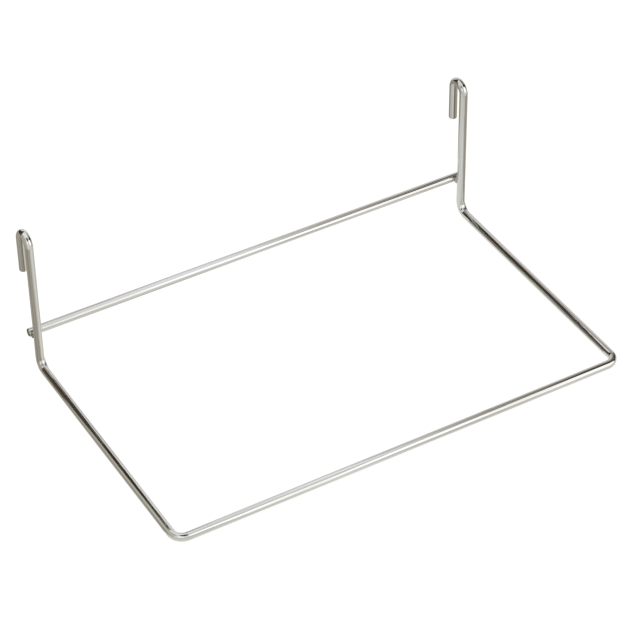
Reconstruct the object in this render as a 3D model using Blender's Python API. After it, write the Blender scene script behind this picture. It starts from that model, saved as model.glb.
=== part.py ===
"""Hanging file rack: one bent steel wire with two hooks, and a straight crossbar welded behind its uprights.

Metres, +Z up, +X to the right, hooks at +Y. The rack lies on its two arms and its front bar, whose
undersides are at Z = 0. The origin is the middle of the bounding box's underside.
"""

import math

import bmesh
import bpy
from mathutils import Matrix, Vector

# The wire
WIRE_DIAMETER = 0.0056
WIRE_RADIUS = WIRE_DIAMETER / 2
WIRE_SIDES = 16  # even, so that a flat side faces straight down under the arms

# The bent frame, between wire centre lines
RAIL_SPACING = 0.311  # arm to arm, the span between a letter-size hanging folder's hooks
ARM_REACH = 0.182  # uprights to front bar
HOOK_TOP = 0.099  # arms to the top of the hooks
HOOK_WIDTH = 0.012  # upright to the hook's short leg
HOOK_DROP = 0.031  # top of the hook to the short leg's cut end
FRONT_BEND_RADIUS = 0.0075
BACK_BEND_RADIUS = 0.008
HOOK_BEND_RADIUS = HOOK_WIDTH / 2
BEND_STEP = math.radians(11.25)  # one straight facet of a bend

# The crossbar and its two welds
CROSSBAR_RISE = 0.0235  # arms to crossbar
CROSSBAR_OVERHANG = 0.0038  # past each upright's centre line
GAP = 0.0003  # left between pieces that the weld joins
WELD_RADIUS = 0.0037
WELD_HALF_THICKNESS = 0.0019

# Where the centre lines lie
SIDE_X = RAIL_SPACING / 2
ARM_Z = WIRE_RADIUS * math.cos(math.pi / WIRE_SIDES)
UPRIGHT_Y = (ARM_REACH - HOOK_WIDTH) / 2
FRONT_Y = UPRIGHT_Y - ARM_REACH
LEG_Y = UPRIGHT_Y + HOOK_WIDTH
HOOK_Z = ARM_Z + HOOK_TOP
CROSSBAR_Y = UPRIGHT_Y + WIRE_DIAMETER + GAP
CROSSBAR_Z = ARM_Z + CROSSBAR_RISE
WELD_Y = (UPRIGHT_Y + CROSSBAR_Y) / 2


def clear_scene():
    for obj in list(bpy.data.objects):
        bpy.data.objects.remove(obj, do_unlink=True)


def new_collection(name):
    collection = bpy.data.collections.new(name)
    bpy.context.scene.collection.children.link(collection)
    return collection


def plated_material(name, colour, roughness):
    material = bpy.data.materials.new(name)
    material.use_nodes = True
    shader = material.node_tree.nodes["Principled BSDF"]
    shader.inputs["Base Color"].default_value = (*colour, 1.0)
    shader.inputs["Roughness"].default_value = roughness
    shader.inputs["Metallic"].default_value = 1.0
    return material


def bend(before, corner, after, radius):
    """Points of the arc that rounds one corner of a route."""
    incoming = (corner - before).normalized()
    outgoing = (after - corner).normalized()
    turn = incoming.angle(outgoing)
    axis = incoming.cross(outgoing).normalized()
    start = corner - incoming * radius * math.tan(turn / 2)
    centre = start + axis.cross(incoming) * radius
    steps = round(turn / BEND_STEP)
    return [
        centre + Matrix.Rotation(turn * step / steps, 3, axis) @ (start - centre)
        for step in range(steps + 1)
    ]


def rounded_route(corners, radii):
    """The whole route: its two ends, and an arc in place of each corner between them."""
    points = [corners[0]]
    for index, radius in enumerate(radii, start=1):
        for point in bend(*corners[index - 1 : index + 2], radius):
            # Two bends may meet, as they do at the top of a hook.
            if (point - points[-1]).length > GAP:
                points.append(point)
    return points + [corners[-1]]


def wire(name, points, collection, radius=WIRE_RADIUS):
    """A round wire with flat cut ends, along points in world space."""
    curve = bpy.data.curves.new(name, "CURVE")
    curve.dimensions = "3D"
    curve.bevel_depth = radius
    curve.bevel_resolution = (WIRE_SIDES - 4) // 2
    curve.use_fill_caps = True
    spline = curve.splines.new("POLY")
    spline.points.add(len(points) - 1)
    for spline_point, point in zip(spline.points, points):
        spline_point.co = (*point, 1.0)
        spline_point.tilt = math.pi / WIRE_SIDES
    obj = bpy.data.objects.new(name, curve)
    collection.objects.link(obj)
    return obj


def as_mesh(source, collection):
    """The curve's solid as a mesh object, with its caps welded on. The curve is removed."""
    graph = bpy.context.evaluated_depsgraph_get()
    mesh = bpy.data.meshes.new_from_object(source.evaluated_get(graph))
    shape = bmesh.new()
    shape.from_mesh(mesh)
    bmesh.ops.remove_doubles(shape, verts=shape.verts, dist=1e-6)
    bmesh.ops.recalc_face_normals(shape, faces=shape.faces)
    shape.to_mesh(mesh)
    shape.free()
    name = source.name
    obj = bpy.data.objects.new(name + "_mesh", mesh)
    obj.matrix_world = source.matrix_world
    collection.objects.link(obj)
    bpy.data.objects.remove(source, do_unlink=True)
    obj.name = name
    return obj


def finish(obj, material):
    obj.data.materials.append(material)
    obj.data.shade_smooth()
    obj.data.set_sharp_from_angle(angle=math.radians(40))


def frame_corners(side):
    """Corners of one half of the bent wire, from the hook's cut end to the front corner."""
    x = side * SIDE_X
    return [
        Vector((x, LEG_Y, HOOK_Z - HOOK_DROP)),
        Vector((x, LEG_Y, HOOK_Z)),
        Vector((x, UPRIGHT_Y, HOOK_Z)),
        Vector((x, UPRIGHT_Y, ARM_Z)),
        Vector((x, FRONT_Y, ARM_Z)),
    ]


def make_frame_wire(collection):
    radii = [HOOK_BEND_RADIUS, HOOK_BEND_RADIUS, BACK_BEND_RADIUS, FRONT_BEND_RADIUS]
    route = rounded_route(frame_corners(-1) + frame_corners(1)[::-1], radii + radii[::-1])
    obj = as_mesh(wire("frame_wire", route, collection), collection)
    finish(obj, plated_material("frame_chrome", (0.78, 0.77, 0.75), 0.12))


def make_crossbar(collection):
    reach = SIDE_X + CROSSBAR_OVERHANG
    route = [Vector((side * reach, CROSSBAR_Y, CROSSBAR_Z)) for side in (-1, 1)]
    obj = as_mesh(wire("back_crossbar", route, collection), collection)
    finish(obj, plated_material("crossbar_chrome", (0.74, 0.73, 0.72), 0.14))


def make_weld(name, side, collection, cutters):
    """The metal squeezed out round the crossing of an upright and the crossbar."""
    centre = Vector((side * SIDE_X, WELD_Y, CROSSBAR_Z))
    mesh = bpy.data.meshes.new(name)
    shape = bmesh.new()
    bmesh.ops.create_uvsphere(shape, u_segments=24, v_segments=12, radius=1.0)
    bmesh.ops.scale(shape, vec=(WELD_RADIUS, WELD_RADIUS, WELD_HALF_THICKNESS), verts=shape.verts)
    upright_to_crossbar = Matrix.Rotation(math.radians(90), 3, "X")
    bmesh.ops.rotate(shape, matrix=upright_to_crossbar, verts=shape.verts)
    shape.to_mesh(mesh)
    shape.free()
    obj = bpy.data.objects.new(name, mesh)
    obj.location = centre
    collection.objects.link(obj)

    reach = 3 * WELD_RADIUS
    crossings = {
        "upright": (Vector((0, UPRIGHT_Y - WELD_Y, 0)), Vector((0, 0, reach))),
        "crossbar": (Vector((0, CROSSBAR_Y - WELD_Y, 0)), Vector((reach, 0, 0))),
    }
    for crossed, (middle, half) in crossings.items():
        ends = [centre + middle - half, centre + middle + half]
        cutter = wire(f"{name}_{crossed}_cutter", ends, cutters, WIRE_RADIUS + GAP)
        cutter = as_mesh(cutter, cutters)
        cutter.hide_render = True
        cutter.display_type = "WIRE"
        cut = obj.modifiers.new(crossed, "BOOLEAN")
        cut.operation = "DIFFERENCE"
        cut.solver = "EXACT"
        cut.object = cutter
    finish(obj, plated_material(name + "_plated", (0.66, 0.64, 0.62), 0.3))


def main():
    clear_scene()
    rack = new_collection("hanging_file_rack")
    cutters = new_collection("cutters")
    make_frame_wire(rack)
    make_crossbar(rack)
    make_weld("weld_left", -1, rack, cutters)
    make_weld("weld_right", 1, rack, cutters)


main()
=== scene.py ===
import math

import bpy
import numpy as np
from mathutils import Matrix, Vector, noise


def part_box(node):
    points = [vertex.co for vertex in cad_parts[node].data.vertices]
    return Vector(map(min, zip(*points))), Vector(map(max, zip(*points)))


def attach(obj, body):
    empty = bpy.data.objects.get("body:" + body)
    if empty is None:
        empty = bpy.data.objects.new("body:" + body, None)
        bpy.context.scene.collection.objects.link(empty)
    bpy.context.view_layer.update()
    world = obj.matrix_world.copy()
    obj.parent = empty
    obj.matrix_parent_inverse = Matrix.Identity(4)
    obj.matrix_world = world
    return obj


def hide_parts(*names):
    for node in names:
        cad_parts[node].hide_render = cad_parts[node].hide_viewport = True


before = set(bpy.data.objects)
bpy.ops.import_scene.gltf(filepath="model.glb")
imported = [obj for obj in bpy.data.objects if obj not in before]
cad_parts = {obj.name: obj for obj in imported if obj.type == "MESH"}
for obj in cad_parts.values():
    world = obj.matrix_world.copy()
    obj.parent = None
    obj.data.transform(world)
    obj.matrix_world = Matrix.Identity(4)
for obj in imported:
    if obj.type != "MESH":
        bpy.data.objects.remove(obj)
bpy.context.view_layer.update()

MM = 0.001

# ---------------------------------------------------------------- places, from the frame

FRAME_LOW, FRAME_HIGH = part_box("frame_wire")
BAR_LOW, BAR_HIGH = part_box("back_crossbar")
WIRE_RADIUS = (BAR_HIGH.z - BAR_LOW.z) / 2
BAR_CENTRE = (BAR_LOW + BAR_HIGH) / 2
WELD_CENTRES = {name: sum(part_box(name), Vector()) / 2 for name in ("weld_left", "weld_right")}
SIDE_X = WELD_CENTRES["weld_right"].x
UPRIGHT_Y = 2 * WELD_CENTRES["weld_right"].y - BAR_CENTRE.y
ARM_Z = FRAME_LOW.z + WIRE_RADIUS
FRONT_Y = FRAME_LOW.y + WIRE_RADIUS
LEG_Y = FRAME_HIGH.y - WIRE_RADIUS
HOOK_Z = FRAME_HIGH.z - WIRE_RADIUS

HOOK_DROP = 31 * MM  # top of the hook to its cut end
HOOK_BEND = (LEG_Y - UPRIGHT_Y) / 2
BACK_BEND = 8 * MM
FRONT_BEND = 7.5 * MM

# ---------------------------------------------------------------- how fine the wire is made

SIDES = 40  # facets round a wire
FRAME_STEP = 3 * MM
BAR_STEP = 1.5 * MM
TURN_STEP = math.radians(2.5)

# ---------------------------------------------------------------- marks of the shop's tools

DRAWN_DEPTH = 0.022 * MM  # unevenness of drawn wire
DRAWN_LENGTH = 26 * MM
DRAWN_SPREAD = 1.3

# A cut end: each ring's distance from the cut, and its share of the full radius.
RIM = [(0.0, 0.80), (0.10 * MM, 0.90), (0.30 * MM, 0.975), (0.70 * MM, 1.0)]
CUT_RIDGE = np.array((0.0, 0.6, 0.8))  # the cut face falls away on both sides of this
FRAME_CUT_SLANT = 0.05
BAR_CUT_SLANT = 0.22
DISH_SHARE = 0.55
DISH_DEPTH = 0.05 * MM
DISH_MIDDLE_DEPTH = 0.08 * MM
BREAK_AND_SHADE_SIDE = np.array((0.0, 0.7, -0.7))  # the back, lower side of a cut end, which breaks off last and is painted darker, partly as painted shade
BREAK_AND_SHADE_LEVEL = 0.45
BREAK_AND_SHADE_SLOPE = 0.9

# Bending, as shares of the radius
INSIDE_LOSS = 0.045
OUTSIDE_LOSS = 0.035

# The forming pin of the rear bends. Its places are shares of the bend from its middle.
PIN_REACH = 0.40
PIN_EDGE = 0.22
PIN_DEPTH = 0.40 * MM
PIN_BULGE = 0.20 * MM
RIDGE_AT = 0.42
RIDGE_WIDTH = 0.07
RIDGE_HEIGHT = 0.08 * MM
PIN_FLATNESS = 2.5

# The welding electrodes
FRAME_ELECTRODE_REACH = 2.2 * MM
FRAME_ELECTRODE_DEPTH = 0.16 * MM
BAR_ELECTRODE_REACH = 2.4 * MM
BAR_ELECTRODE_DEPTH = 0.20 * MM
ELECTRODE_FLATNESS = 3

# Plate goes dull where the wire is pressed in by more than this.
DULL_FROM = 0.15 * MM
DULL_OVER = 0.25 * MM
PRESSED_DULLNESS = 0.5

# The metal that a weld squeezes out
BEAD_SIDES = 56
BEAD_RINGS = 28
BEAD_RADIUS = 3.05 * MM
BEAD_CORNER_SWELL = 0.35 * MM  # between the crossing wires, where the metal is free to spread
BEAD_RIM_LUMPS = 0.30 * MM
BEAD_LUMPS = 0.12 * MM
BEAD_HALF_DEPTH = 1.5 * MM
BEAD_EDGE_ROUNDNESS = 0.45
BEAD_FACE_ROUNDNESS = 0.8
BEAD_RIM_DETAIL = 1.7  # how quickly the lumps change round the rim
BEAD_DETAIL = 3
BEAD_DEEP_DETAIL = 2

# ---------------------------------------------------------------- small helpers


def linear(hex_colour):
    """An sRGB hex colour as the linear red, green, blue and alpha that a shader takes."""
    channels = [int(hex_colour[i : i + 2], 16) / 255 for i in (1, 3, 5)]
    return (*(c / 12.92 if c <= 0.04045 else ((c + 0.055) / 1.055) ** 2.4 for c in channels), 1.0)


def smooth_step(x):
    x = np.clip(x, 0, 1)
    return x * x * (3 - 2 * x)


def bump_at(x, middle, width):
    return np.exp(-(((x - middle) / width) ** 2))


def node(tree, kind, links=None, **settings):
    """Adds a node. Settings name its properties or its inputs, and links feed its inputs."""
    made = tree.nodes.new(kind)
    for name, value in settings.items():
        if hasattr(made, name):
            setattr(made, name, value)
        else:
            made.inputs[name.replace("_", " ")].default_value = value
    for name, socket in (links or {}).items():
        tree.links.new(socket, made.inputs[name])
    return made


def metal_surface(name):
    """A new material with a metallic shader, as its material, its tree and its shader."""
    material = bpy.data.materials.new(name)
    material.use_nodes = True
    shader = material.node_tree.nodes["Principled BSDF"]
    shader.inputs["Metallic"].default_value = 1.0
    return material, material.node_tree, shader


def add_piece(name, mesh, material, cad_node):
    """Puts a finished mesh in the scene in place of a CAD node."""
    mesh.materials.append(material)
    mesh.shade_smooth()
    piece = bpy.data.objects.new(name, mesh)
    bpy.context.scene.collection.objects.link(piece)
    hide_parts(cad_node)
    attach(piece, "root")


# ---------------------------------------------------------------- wires


def wire_samples(corners, radii, straight_step):
    """Centre line of a wire: at each place its point, the side that faces the bend's centre,
    how far through a bend it is (0 to 1, or -1 on a straight run), and the bend's number."""
    rows = []

    def straight(start, end, inward):
        steps = max(1, round((end - start).length / straight_step))
        for step in range(steps):
            rows.append((start.lerp(end, step / steps), inward, -1.0, -1))

    last, inward = corners[0], Vector((0, -1, 0))
    for index, radius in enumerate(radii):
        before, corner, after = corners[index : index + 3]
        incoming, outgoing = (corner - before).normalized(), (after - corner).normalized()
        turn, axis = incoming.angle(outgoing), incoming.cross(outgoing).normalized()
        start = corner - incoming * radius * math.tan(turn / 2)
        inward = axis.cross(incoming)
        # Two bends may meet, as they do at the top of a hook.
        if (start - last).length > 0.01 * MM:
            straight(last, start, inward)
        centre = start + inward * radius
        steps = round(turn / TURN_STEP)
        for step in range(steps):
            spin = Matrix.Rotation(turn * step / steps, 3, axis)
            rows.append((centre + spin @ (start - centre), spin @ inward, step / steps, index))
        last = centre + Matrix.Rotation(turn, 3, axis) @ (start - centre)
    straight(last, corners[-1], inward)
    rows.append((corners[-1], inward, -1.0, -1))
    return [np.array(column) for column in zip(*rows)]


def rings_along(points):
    """The wire's direction, and directions round it, at every place. They don't twist."""
    ahead = np.gradient(points, axis=0)
    ahead /= np.linalg.norm(ahead, axis=1, keepdims=True)
    off_the_wire = (1.0, 0.3, 0.2)  # any direction that the wire doesn't start in
    across = np.cross(ahead[0], off_the_wire)
    angles = np.arange(SIDES) * 2 * math.pi / SIDES
    rings = []
    for direction in ahead:
        across = across - direction * (across @ direction)
        across /= np.linalg.norm(across)
        other = np.cross(direction, across)
        rings.append(np.outer(np.cos(angles), across) + np.outer(np.sin(angles), other))
    return ahead, np.array(rings)


def distances(points):
    """How far along the wire each place is."""
    return np.concatenate([[0], np.cumsum(np.linalg.norm(np.diff(points, axis=0), axis=1))])


def drawn_unevenness(points, seed):
    """How far below its full radius drawn wire lies: a few hundredths of a millimetre."""
    turns = np.arange(SIDES) * 2 * math.pi / SIDES
    circle = [(DRAWN_SPREAD * math.cos(turn), DRAWN_SPREAD * math.sin(turn) + seed) for turn in turns]
    along = distances(points) / DRAWN_LENGTH
    wave = [[noise.noise(Vector((at, *place))) for place in circle] for at in along]
    return DRAWN_DEPTH * (1 + np.array(wave))


def close_end(vertices, faces, first, inward):
    """Closes the wire with a slightly dished face, at the ring that starts at vertex first.
    inward points into the wire. Gives the numbers of the face's vertices."""
    rim = range(first, first + SIDES)
    middle = np.mean([vertices[k] for k in rim], axis=0)
    inner_first = len(vertices)
    for k in rim:
        out = np.array(vertices[k]) - middle
        vertices.append(tuple(middle + DISH_SHARE * out + inward * DISH_DEPTH))
    vertices.append(tuple(middle + inward * DISH_MIDDLE_DEPTH))
    for j in range(SIDES):
        beside = (j + 1) % SIDES
        quad = (first + j, first + beside, inner_first + beside, inner_first + j)
        wedge = (inner_first + j, inner_first + beside, inner_first + SIDES)
        faces += [quad[::-1], wedge[::-1]] if first == 0 else [quad, wedge]
    return [*rim, *range(inner_first, len(vertices))]


def map_in_millimetres(mesh, lengths):
    """A map along and round the wire, which the drawing lines follow."""
    wrap = mesh.uv_layers.new(name="wire_mm")
    round_mm = 2 * math.pi * WIRE_RADIUS / MM
    for face in mesh.polygons:
        columns = [vertex % SIDES for vertex in face.vertices]
        crosses_seam = max(columns) - min(columns) > SIDES // 2
        for loop, vertex in zip(face.loop_indices, face.vertices):
            row = min(vertex // SIDES, len(lengths) - 1)
            column = vertex % SIDES
            if crosses_seam and column == 0:
                column = SIDES
            wrap.data[loop].uv = (lengths[row] / MM, column / SIDES * round_mm)


def wire_mesh(name, points, radius_at, cut_slant, seed):
    """A closed wire with sheared ends. radius_at gives the radius at each place and side."""
    ahead, rings = rings_along(points)
    radius = radius_at(rings) - drawn_unevenness(points, seed)

    # The shear rounds the rim of each cut end.
    shares = [share for _, share in RIM]
    start_points = [points[0] + ahead[0] * depth for depth, _ in RIM]
    end_points = [points[-1] - ahead[-1] * depth for depth, _ in RIM[::-1]]
    start_radius = [radius[0] * share for share in shares]
    end_radius = [radius[-1] * share for share in shares[::-1]]
    points = np.array([*start_points, *points[1:-1], *end_points])
    rings = np.array([*[rings[0]] * len(RIM), *rings[1:-1], *[rings[-1]] * len(RIM)])
    radius = np.array([*start_radius, *radius[1:-1], *end_radius])

    ring_points = points[:, None, :] + rings * radius[:, :, None]
    for index, inward in ((0, ahead[0]), (-1, -ahead[-1])):
        lean = cut_slant * (rings[index] @ CUT_RIDGE) * WIRE_RADIUS
        ring_points[index] += np.outer(np.abs(lean), inward)

    vertices = [tuple(point) for ring in ring_points for point in ring]
    faces = []
    for near in range(0, (len(points) - 1) * SIDES, SIDES):
        far = near + SIDES
        for j in range(SIDES):
            beside = (j + 1) % SIDES
            faces.append((near + j, near + beside, far + beside, far + j))
    cut_faces = [
        (points[0], close_end(vertices, faces, 0, ahead[0])),
        (points[-1], close_end(vertices, faces, (len(points) - 1) * SIDES, -ahead[-1])),
    ]
    mesh = bpy.data.meshes.new(name)
    mesh.from_pydata(vertices, [], faces)
    map_in_millimetres(mesh, distances(points))

    # Where a tool has pressed the wire in, and on the cut ends, the plate stays dull.
    pressed = PRESSED_DULLNESS * smooth_step((WIRE_RADIUS - radius.ravel() - DULL_FROM) / DULL_OVER)
    dull = mesh.attributes.new("dull", "FLOAT", "POINT")
    dull.data.foreach_set("value", [*pressed, *[1.0] * (len(vertices) - len(pressed))])
    # The shear's blade burnishes one side of a cut end, and the rest breaks off. The fractured back,
    # lower side is painted darker: partly its dull fracture, partly painted shade.
    break_and_shade = mesh.attributes.new("break_and_shade", "FLOAT", "POINT")
    for middle, numbers in cut_faces:
        for number in numbers:
            offset = (np.array(vertices[number]) - middle) / WIRE_RADIUS
            break_and_shade.data[number].value = smooth_step(BREAK_AND_SHADE_LEVEL + BREAK_AND_SHADE_SLOPE * (offset @ BREAK_AND_SHADE_SIDE))
    return mesh


def frame_half(side):
    """Corners of one half of the bent wire, from the hook's cut end to the front corner."""
    x = side * SIDE_X
    return [
        Vector((x, LEG_Y, HOOK_Z - HOOK_DROP)),
        Vector((x, LEG_Y, HOOK_Z)),
        Vector((x, UPRIGHT_Y, HOOK_Z)),
        Vector((x, UPRIGHT_Y, ARM_Z)),
        Vector((x, FRONT_Y, ARM_Z)),
    ]


def make_frame_wire(material):
    radii = [HOOK_BEND, HOOK_BEND, BACK_BEND, FRONT_BEND]
    back_bend_numbers = (2, 5)
    corners = frame_half(-1) + frame_half(1)[::-1]
    points, sides, through, numbers = wire_samples(corners, radii + radii[::-1], FRAME_STEP)
    bent = np.where(through < 0, 0, smooth_step(4 * np.minimum(through, 1 - through)))[:, None]
    from_middle = np.where(np.isin(numbers, back_bend_numbers), abs(through - 0.5), np.inf)
    pin = smooth_step((PIN_REACH - from_middle) / PIN_EDGE)[:, None]
    ridges = bump_at(from_middle, RIDGE_AT, RIDGE_WIDTH)[:, None]

    def radius_at(rings):
        towards = np.einsum("ijk,ik->ij", rings, sides)
        inner, outer = np.maximum(towards, 0), np.maximum(-towards, 0)
        # Bending thins the outside and flattens the inside.
        radius = WIRE_RADIUS * (1 - bent * (INSIDE_LOSS * inner**2 + OUTSIDE_LOSS * outer**2))
        # The forming pin crushes a flat, with a ridge at each end, into the tight rear bends,
        # and pushes the flanks out.
        radius -= (PIN_DEPTH * pin - RIDGE_HEIGHT * ridges) * inner**PIN_FLATNESS
        radius += PIN_BULGE * pin * (1 - towards**2) ** 2
        # The welding electrode leaves a faint flat on the front of each upright.
        for weld in WELD_CENTRES.values():
            away = np.linalg.norm(points - np.array((weld.x, UPRIGHT_Y, weld.z)), axis=1)
            near = bump_at(away, 0, FRAME_ELECTRODE_REACH)[:, None]
            radius -= FRAME_ELECTRODE_DEPTH * near * np.maximum(-rings[:, :, 1], 0) ** ELECTRODE_FLATNESS
        return radius

    mesh = wire_mesh("frame_wire_bent", points, radius_at, FRAME_CUT_SLANT, seed=3.0)
    add_piece("frame_wire_bent", mesh, material, "frame_wire")


def make_crossbar(material):
    ends = [Vector((x, BAR_CENTRE.y, BAR_CENTRE.z)) for x in (BAR_LOW.x, BAR_HIGH.x)]
    points, *_ = wire_samples(ends, [], BAR_STEP)

    def radius_at(rings):
        radius = np.full(rings.shape[:2], WIRE_RADIUS)
        # The electrode presses the rear side flat.
        for weld in WELD_CENTRES.values():
            near = bump_at(points[:, 0], weld.x, BAR_ELECTRODE_REACH)[:, None]
            radius -= BAR_ELECTRODE_DEPTH * near * np.maximum(rings[:, :, 1], 0) ** ELECTRODE_FLATNESS
        return radius

    mesh = wire_mesh("back_crossbar_straight", points, radius_at, BAR_CUT_SLANT, seed=11.0)
    add_piece("back_crossbar_straight", mesh, material, "back_crossbar")


# ---------------------------------------------------------------- welds


def bead_point(turn, tall, seed):
    """A place on a weld bead, from its centre: turn goes round Y, and tall from +Y to -Y."""
    c, s, t = math.cos(turn), math.sin(turn), math.cos(tall)
    rim = BEAD_RADIUS + BEAD_CORNER_SWELL * math.sin(2 * turn) ** 2
    rim += BEAD_RIM_LUMPS * noise.noise(Vector((BEAD_RIM_DETAIL * c, BEAD_RIM_DETAIL * s, seed)))
    place = Vector((BEAD_DETAIL * c, BEAD_DETAIL * s, BEAD_DEEP_DETAIL * t + seed))
    lump = BEAD_LUMPS * noise.noise(place)
    wide = math.sin(tall) ** BEAD_EDGE_ROUNDNESS * rim + lump
    deep = BEAD_HALF_DEPTH * math.copysign(abs(t) ** BEAD_FACE_ROUNDNESS, t)
    return Vector((wide * c, deep, wide * s))


def make_weld(name, material):
    """Metal squeezed out of a resistance weld: a pillow between the two wires with a lumpy rim."""
    centre = WELD_CENTRES[name]
    seed = centre.x / MM
    vertices = [
        centre + bead_point(2 * math.pi * j / BEAD_SIDES, math.pi * i / BEAD_RINGS, seed)
        for i in range(1, BEAD_RINGS)
        for j in range(BEAD_SIDES)
    ]
    rear, front = len(vertices), len(vertices) + 1
    vertices += [centre + Vector((0, BEAD_HALF_DEPTH, 0)), centre - Vector((0, BEAD_HALF_DEPTH, 0))]
    last = (BEAD_RINGS - 2) * BEAD_SIDES
    faces = []
    for j in range(BEAD_SIDES):
        beside = (j + 1) % BEAD_SIDES
        for ring in range(0, last, BEAD_SIDES):
            following = ring + BEAD_SIDES
            faces.append((ring + j, ring + beside, following + beside, following + j))
        faces.append((rear, beside, j))
        faces.append((front, last + j, last + beside))
    mesh = bpy.data.meshes.new(name + "_bead")
    mesh.from_pydata(vertices, [], faces)
    add_piece(name + "_bead", mesh, material, name)


# ---------------------------------------------------------------- finishes


def bright_chrome(name, low_tint, high_tint, seed):
    """Bright chromium over nickel on drawn steel wire, plated. It mirrors the room in long stripes;
    the drawing lines break the stripes a little, and handling leaves faint hazy patches."""
    material, tree, shader = metal_surface(name)
    place = node(tree, "ShaderNodeUVMap", uv_map="wire_mm")

    # Drawing lines run the length of the wire. Real ones are many to a millimetre, which is too
    # fine to show, so these are drawn 0.4 mm apart, with finer ones between.
    line_place = node(tree, "ShaderNodeMapping", {"Vector": place.outputs["UV"]},
                      Scale=(0.02, 2.6, 1.0), Location=(seed, seed, 0.0))
    lines = node(tree, "ShaderNodeTexNoise", {"Vector": line_place.outputs["Vector"]},
                 noise_dimensions="2D", Scale=1.0, Detail=3.0, Roughness=0.6)
    # Slow unevenness under the plate: patches 10 mm long and 4.5 mm round the wire.
    ripple_place = node(tree, "ShaderNodeMapping", {"Vector": place.outputs["UV"]},
                        Scale=(0.10, 0.22, 1.0), Location=(seed, 2 * seed, 0.0))
    ripple = node(tree, "ShaderNodeTexNoise", {"Vector": ripple_place.outputs["Vector"]},
                  noise_dimensions="2D", Scale=1.0, Detail=2.0, Roughness=0.5)
    # The die leaves a few coarser flutes, each as wide as a fifth of the wire.
    flute_place = node(tree, "ShaderNodeMapping", {"Vector": place.outputs["UV"]},
                       Scale=(0.008, 0.85, 1.0), Location=(3 * seed, seed, 0.0))
    flutes = node(tree, "ShaderNodeTexNoise", {"Vector": flute_place.outputs["Vector"]},
                  noise_dimensions="2D", Scale=1.0, Detail=1.0, Roughness=0.5)

    # Polished plate has a roughness of about 0.05. Handling and pressed places raise it.
    haze = node(tree, "ShaderNodeMapRange", {"Value": ripple.outputs["Fac"]},
                From_Min=0.35, From_Max=0.75, To_Min=0.05, To_Max=0.12)
    pressed = node(tree, "ShaderNodeAttribute", attribute_name="dull")
    roughness = node(tree, "ShaderNodeMath", {0: pressed.outputs["Fac"], 2: haze.outputs["Result"]},
                     operation="MULTIPLY_ADD")
    roughness.inputs[1].default_value = 0.4
    tree.links.new(roughness.outputs["Value"], shader.inputs["Roughness"])

    # Chromium reflects a little over half the light. The flutes carry a slight tone, and the fractured
    # back, lower side of a cut end is painted darker, partly as painted shade. A colour mix has its
    # colours at inputs 6 and 7 and its result at output 2.
    streak = node(tree, "ShaderNodeMapRange", {"Value": flutes.outputs["Fac"]},
                  From_Min=0.32, From_Max=0.68)
    tone = node(tree, "ShaderNodeMix", {0: streak.outputs["Result"]}, data_type="RGBA")
    tone.inputs[6].default_value = linear(low_tint)
    tone.inputs[7].default_value = linear(high_tint)
    break_and_shade = node(tree, "ShaderNodeAttribute", attribute_name="break_and_shade")
    colour = node(tree, "ShaderNodeMix", {0: break_and_shade.outputs["Fac"], 6: tone.outputs[2]},
                  data_type="RGBA")
    # This dark colour is partly the dull fracture and partly painted shade.
    colour.inputs[7].default_value = linear("#6E665C")
    tree.links.new(colour.outputs[2], shader.inputs["Base Color"])

    ripple_bump = node(tree, "ShaderNodeBump", {"Height": ripple.outputs["Fac"]},
                       Strength=0.10, Distance=0.4 * MM)
    flute_bump = node(tree, "ShaderNodeBump",
                      {"Height": flutes.outputs["Fac"], "Normal": ripple_bump.outputs["Normal"]},
                      Strength=0.30, Distance=0.3 * MM)
    line_bump = node(tree, "ShaderNodeBump",
                     {"Height": lines.outputs["Fac"], "Normal": flute_bump.outputs["Normal"]},
                     Strength=0.06, Distance=0.1 * MM)
    tree.links.new(line_bump.outputs["Normal"], shader.inputs["Normal"])
    return material


def plated_weld(name):
    """Chromium plated thinly over the rough metal of a weld. It looks greyer and duller than the
    wire, with a warm tinge of nickel in its hollows."""
    material, tree, shader = metal_surface(name)
    place = node(tree, "ShaderNodeTexCoord")
    # Grains about 0.7 mm across
    grain = node(tree, "ShaderNodeTexNoise", {"Vector": place.outputs["Object"]},
                 Scale=1400.0, Detail=4.0, Roughness=0.6)
    shade = node(tree, "ShaderNodeValToRGB", {"Fac": grain.outputs["Fac"]})
    hollow, crest = shade.color_ramp.elements
    hollow.position, hollow.color = 0.3, linear("#7F766A")
    crest.position, crest.color = 0.7, linear("#C4C1BA")
    tree.links.new(shade.outputs["Color"], shader.inputs["Base Color"])
    rough = node(tree, "ShaderNodeMapRange", {"Value": grain.outputs["Fac"]},
                 From_Min=0.3, From_Max=0.7, To_Min=0.38, To_Max=0.16)
    tree.links.new(rough.outputs["Result"], shader.inputs["Roughness"])
    bump = node(tree, "ShaderNodeBump", {"Height": grain.outputs["Fac"]},
                Strength=0.5, Distance=0.2 * MM)
    tree.links.new(bump.outputs["Normal"], shader.inputs["Normal"])
    return material


def light_table(name):
    """Opal acrylic lit from below: an even white glow, which the faint mottle of the sheet and
    the soft shade of things on it hardly change."""
    material = bpy.data.materials.new(name)
    material.use_nodes = True
    tree = material.node_tree
    shader = tree.nodes["Principled BSDF"]
    shader.inputs["Base Color"].default_value = linear("#5C5C5B")
    shader.inputs["Roughness"].default_value = 0.85
    shader.inputs["Specular IOR Level"].default_value = 0.2
    place = node(tree, "ShaderNodeTexCoord")
    # Mottle about 25 mm across
    mottle = node(tree, "ShaderNodeTexNoise", {"Vector": place.outputs["Object"]}, Scale=40.0)
    shade = node(tree, "ShaderNodeValToRGB", {"Fac": mottle.outputs["Fac"]})
    shade.color_ramp.elements[0].color = linear("#FBFBFA")
    shade.color_ramp.elements[1].color = linear("#FFFFFF")
    tree.links.new(shade.outputs["Color"], shader.inputs["Emission Color"])
    shader.inputs["Emission Strength"].default_value = 0.92
    return material


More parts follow.
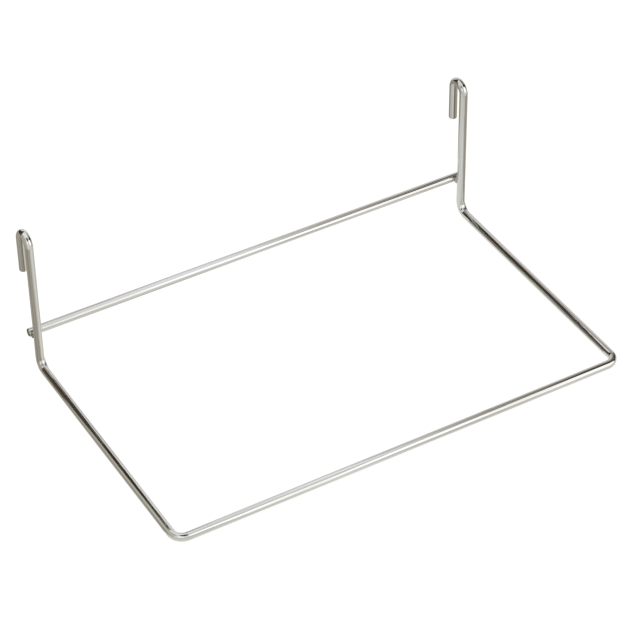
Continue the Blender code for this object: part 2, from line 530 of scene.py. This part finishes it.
def glow(name, colour, strength=1.0):
    """An even glow, such as a softbox or a lit wall gives."""
    material = bpy.data.materials.new(name)
    material.use_nodes = True
    tree = material.node_tree
    tree.nodes.remove(tree.nodes["Principled BSDF"])
    lamp = node(tree, "ShaderNodeEmission", Color=linear(colour), Strength=strength)
    tree.links.new(lamp.outputs["Emission"], tree.nodes["Material Output"].inputs["Surface"])
    return material


def fading_glow(name, near, far, start, end):
    """A glow that fades along X from one colour to another."""
    material = glow(name, near)
    tree = material.node_tree
    place = node(tree, "ShaderNodeTexCoord")
    split = node(tree, "ShaderNodeSeparateXYZ", {"Vector": place.outputs["Object"]})
    along = node(tree, "ShaderNodeMapRange", {"Value": split.outputs["X"]}, From_Min=start, From_Max=end)
    fade = node(tree, "ShaderNodeValToRGB", {"Fac": along.outputs["Result"]})
    fade.color_ramp.elements[0].color = linear(near)
    fade.color_ramp.elements[1].color = linear(far)
    tree.links.new(fade.outputs["Color"], tree.nodes["Emission"].inputs["Color"])
    return material


# ---------------------------------------------------------------- the studio, in metres

DARK_ROOM = "#463D33"
CEILING_LIT, CEILING_DIM, CEILING_DARK = "#ABA59B", "#6A6258", "#3D352C"
TABLE_EDGE = "#BEB8A8"


def card(name, corners, material):
    """A flat studio card, given by its corners, which only reflections can see."""
    mesh = bpy.data.meshes.new(name)
    mesh.from_pydata(corners, [], [tuple(range(len(corners)))])
    mesh.materials.append(material)
    made = bpy.data.objects.new(name, mesh)
    bpy.context.scene.collection.objects.link(made)
    made.visible_camera = False
    made.visible_diffuse = False
    made.visible_shadow = False
    made.visible_transmission = False


def level_corners(x, y, z):
    return [(x[0], y[0], z), (x[1], y[0], z), (x[1], y[1], z), (x[0], y[1], z)]


def level_card(name, x, y, z, colour, strength=1.0):
    card(name, level_corners(x, y, z), glow(name + "_glow", colour, strength))


def upright_card(name, start, end, z, colour, strength=1.0):
    """A card that stands on the line from start to end, between two heights."""
    low, high = z
    corners = [(*start, low), (*end, low), (*end, high), (*start, high)]
    card(name, corners, glow(name + "_glow", colour, strength))


def make_lights():
    world = bpy.data.worlds.new("studio")
    bpy.context.scene.world = world
    world.use_nodes = True
    background = world.node_tree.nodes["Background"]
    background.inputs["Color"].default_value = linear("#FFFFFF")
    background.inputs["Strength"].default_value = 1.0

    box = bpy.data.lights.new("top_light", "AREA")
    box.shape = "RECTANGLE"
    box.size, box.size_y = 1.6, 1.6
    box.energy = 12
    lamp = bpy.data.objects.new("top_light", box)
    lamp.location = (-0.3, -0.5, 1.8)
    lamp.rotation_euler = (lamp.location * -1).to_track_quat("-Z", "Y").to_euler()
    lamp.visible_glossy = False
    bpy.context.scene.collection.objects.link(lamp)


def make_softboxes():
    upright_card("front_softbox", start=(0.25, -1.2), end=(1.25, -0.55), z=(0.12, 1.38),
                 colour="#FFFFFF", strength=1.85)
    level_card("overhead_softbox", x=(-0.5, 0.21), y=(-0.25, 0.335), z=0.5,
               colour="#F7F8FF", strength=1.35)
    upright_card("camera_side_softbox", start=(-1.3, -0.75), end=(-0.55, -1.25), z=(0.5, 1.5),
                 colour="#FFFFFF", strength=1.6)
    level_card("lamp_head", x=(-0.27, -0.03), y=(-0.36, -0.06), z=0.49, colour="#332C25")


def make_room():
    """The unlit room shows behind, and on the right overhead, where the ceiling has bands."""
    upright_card("dark_room_far_left", (-2.2, 0.95), (-0.75, 0.95), (0.0, 2.4), "#6A6054")
    upright_card("dark_room_behind", (-0.75, 0.95), (-0.05, 0.95), (0.0, 2.4), DARK_ROOM)
    upright_card("dark_room_behind_high", (-0.05, 0.95), (0.34, 0.95), (0.72, 2.4), DARK_ROOM)
    upright_card("dark_room_high_right", (0.17, 0.35), (0.33, 0.35), (0.58, 0.95), DARK_ROOM)
    upright_card("dark_room_right", (0.9, -0.30), (0.9, 0.36), (0.05, 0.5), DARK_ROOM)
    upright_card("left_wall", (-0.33, -0.12), (-0.33, 0.213), (0.0, 0.42), "#DADACE")

    near_x, faded_x, far_x = 0.24, 0.38, 0.9
    bands = [
        ((-0.25, 0.0), CEILING_DARK),
        ((0.0, 0.15), CEILING_LIT),
        ((0.15, 0.30), CEILING_DIM),
        ((0.30, 0.45), CEILING_LIT),
    ]
    for index, (y, colour) in enumerate(bands):
        name = f"ceiling_right_{index}"
        fade = fading_glow(name + "_fade", "#E4E1DC", colour, near_x, faded_x)
        card(name, level_corners((near_x, far_x), y, 0.5), fade)


def make_table():
    bpy.ops.mesh.primitive_plane_add(size=8, location=(0, 0, -0.03 * MM))
    floor = bpy.context.object
    floor.name = "floor"
    floor.data.materials.append(light_table("opal_acrylic_light_table"))

    # The lit table shows a little greyer in the plate than it is, and ends beside the rack.
    # On the left the darker card runs right up to the wire, and there it is painted shade of the rack on
    # the table, as the plate shows it.
    sheen_z, edge_z = 0.3 * MM, 0.8 * MM
    level_card("table_sheen", (-1.2, 1.2), (-1.2, 0.9), sheen_z, "#FBFCF8")
    # Where this card meets the wire it is painted shade, which only reflections see.
    level_card("table_edge_and_shade_left", (-0.6, -0.158), (-0.085, 0.6), edge_z, TABLE_EDGE)
    level_card("table_edge_right", (0.168, 0.6), (-0.10, 0.6), edge_z, TABLE_EDGE)
    level_card("table_edge_behind", (-0.158, 0.168), (0.145, 0.6), edge_z, TABLE_EDGE)
    upright_card("shade_by_right_arm", (0.148, -0.082), (0.148, 0.075), (0.0001, 0.0032), "#8A8175")


def make_camera():
    """Looks down on the rack from its front left, with a long lens."""
    aim = Vector((1.46, 6.8, 27.78)) * MM
    azimuth, elevation, roll = (math.radians(angle) for angle in (-29.73, 39.80, 0.79))
    away = 1.660
    lens = bpy.data.cameras.new("view")
    lens.sensor_width = 36
    lens.lens = 150
    camera = bpy.data.objects.new("view", lens)
    level = math.cos(elevation)
    back = Vector((math.sin(azimuth) * level, -math.cos(azimuth) * level, math.sin(elevation)))
    turned = back.to_track_quat("Z", "Y").to_matrix() @ Matrix.Rotation(-roll, 3, "Z")
    camera.matrix_world = Matrix.Translation(aim + back * away) @ turned.to_4x4()
    bpy.context.scene.collection.objects.link(camera)
    bpy.context.scene.camera = camera


def main():
    make_frame_wire(bright_chrome("chrome_plated_frame_wire", "#B5B3AD", "#D0D0CE", seed=4.0))
    make_crossbar(bright_chrome("chrome_plated_crossbar", "#B5B3AD", "#CFCFCD", seed=9.0))
    weld_finish = plated_weld("chrome_plated_weld")
    for name in WELD_CENTRES:
        make_weld(name, weld_finish)
    make_table()
    make_room()
    make_softboxes()
    make_lights()
    make_camera()
    bpy.context.scene.view_settings.view_transform = "Standard"


main()
